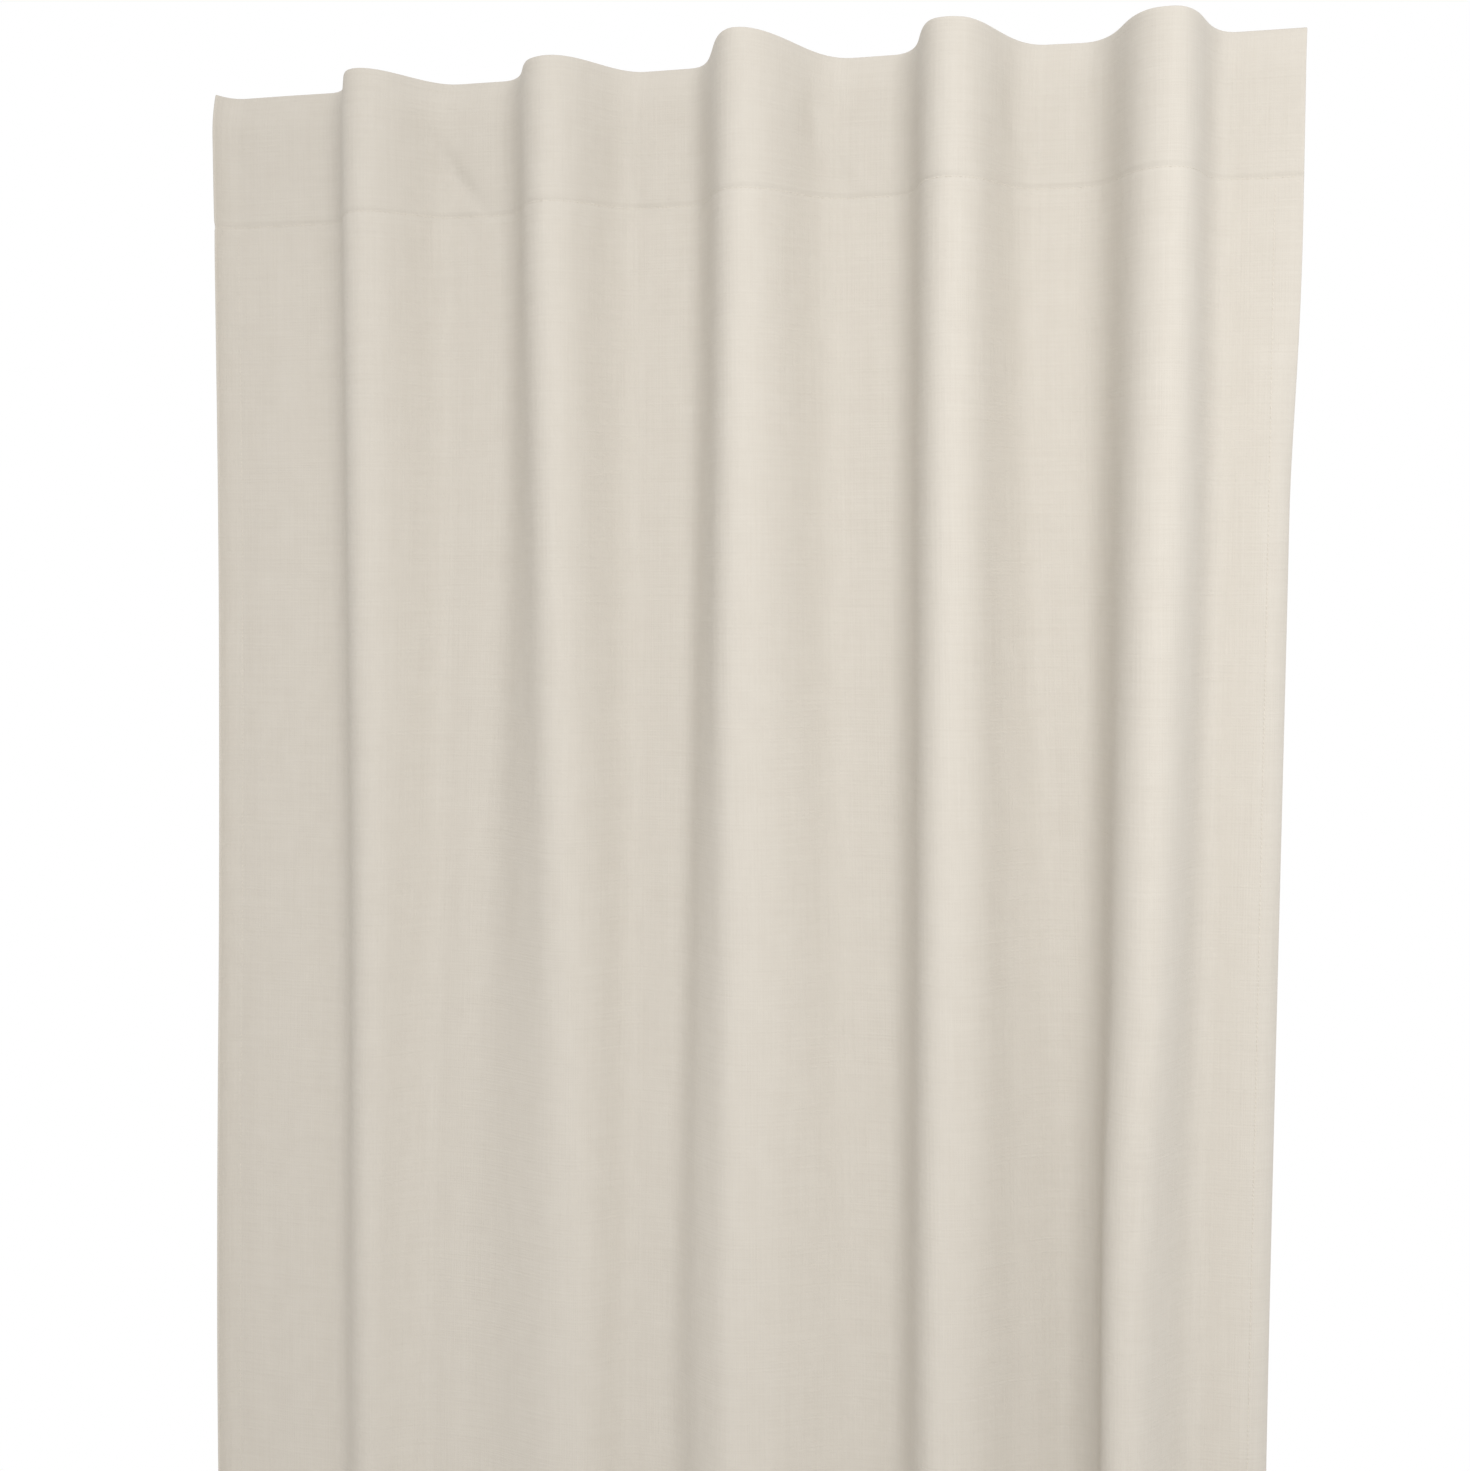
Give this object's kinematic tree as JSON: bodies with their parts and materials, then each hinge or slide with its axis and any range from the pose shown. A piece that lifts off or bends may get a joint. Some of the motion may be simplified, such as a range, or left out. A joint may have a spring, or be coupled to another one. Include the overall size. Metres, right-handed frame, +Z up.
{
  "type": "hidden-tab curtain panel",
  "caption": "Fabric room curtain panel with a stitched header band, hidden back loops for a rod, hemmed sides and base, hanging in soft folds.",
  "frame": {"origin": "on the axis of the rod that the loops hang on, halfway between the first and the last loop", "axes": "+X along the rod to the right seen from the front, +Y to the back, +Z up; the front faces -Y"},
  "size_m": [0.7876, 0.0983, 2.5],
  "materials": {
    "face_cloth": "plain weave, slubbed, matt, warm off-white",
    "turned_cloth": "the same plain weave, turned to the back",
    "tape_webbing": "close woven tape, matt, off-white",
    "sewing_thread": "spun thread, slight sheen",
    "label_satin": "blank satin ribbon"
  },
  "bodies": {
    "panel": {"face_panel": "face_cloth", "header_facing": "turned_cloth", "heading_tape": "tape_webbing", "left_side_hem": "turned_cloth", "bottom_hem": "turned_cloth", "header_stitching": "sewing_thread", "bottom_hem_stitching": "sewing_thread", "left_hem_stitching": "sewing_thread", "care_label": "label_satin", "tab_1": "tape_webbing"},
    "loop_2": {"tab_2": "tape_webbing"},
    "loop_3": {"tab_3": "tape_webbing"},
    "loop_4": {"tab_4": "tape_webbing"},
    "loop_5": {"tab_5": "tape_webbing"},
    "leading_edge": {"tab_6": "tape_webbing", "right_side_hem": "turned_cloth", "right_hem_stitching": "sewing_thread"}
  },
  "joints": [
    {"name": "loop_2_slide", "type": "slide", "parent": "panel", "child": "loop_2", "axis": [1, 0, 0], "range_m": [-0.08905, 0]},
    {"name": "loop_3_slide", "type": "slide", "parent": "panel", "child": "loop_3", "axis": [1, 0, 0], "range_m": [-0.16605, 0]},
    {"name": "loop_4_slide", "type": "slide", "parent": "panel", "child": "loop_4", "axis": [1, 0, 0], "range_m": [-0.2469, 0]},
    {"name": "loop_5_slide", "type": "slide", "parent": "panel", "child": "loop_5", "axis": [1, 0, 0], "range_m": [-0.32005, 0]},
    {"name": "draw", "type": "slide", "parent": "panel", "child": "leading_edge", "axis": [1, 0, 0], "range_m": [-0.385, 0], "deforming": ["face_panel", "header_facing", "heading_tape", "bottom_hem", "header_stitching", "bottom_hem_stitching"]}
  ],
  "couplings": [
    {"joint": "loop_2_slide", "follows": "draw", "ratio": 0.23},
    {"joint": "loop_3_slide", "follows": "draw", "ratio": 0.43},
    {"joint": "loop_4_slide", "follows": "draw", "ratio": 0.64},
    {"joint": "loop_5_slide", "follows": "draw", "ratio": 0.83}
  ]
}
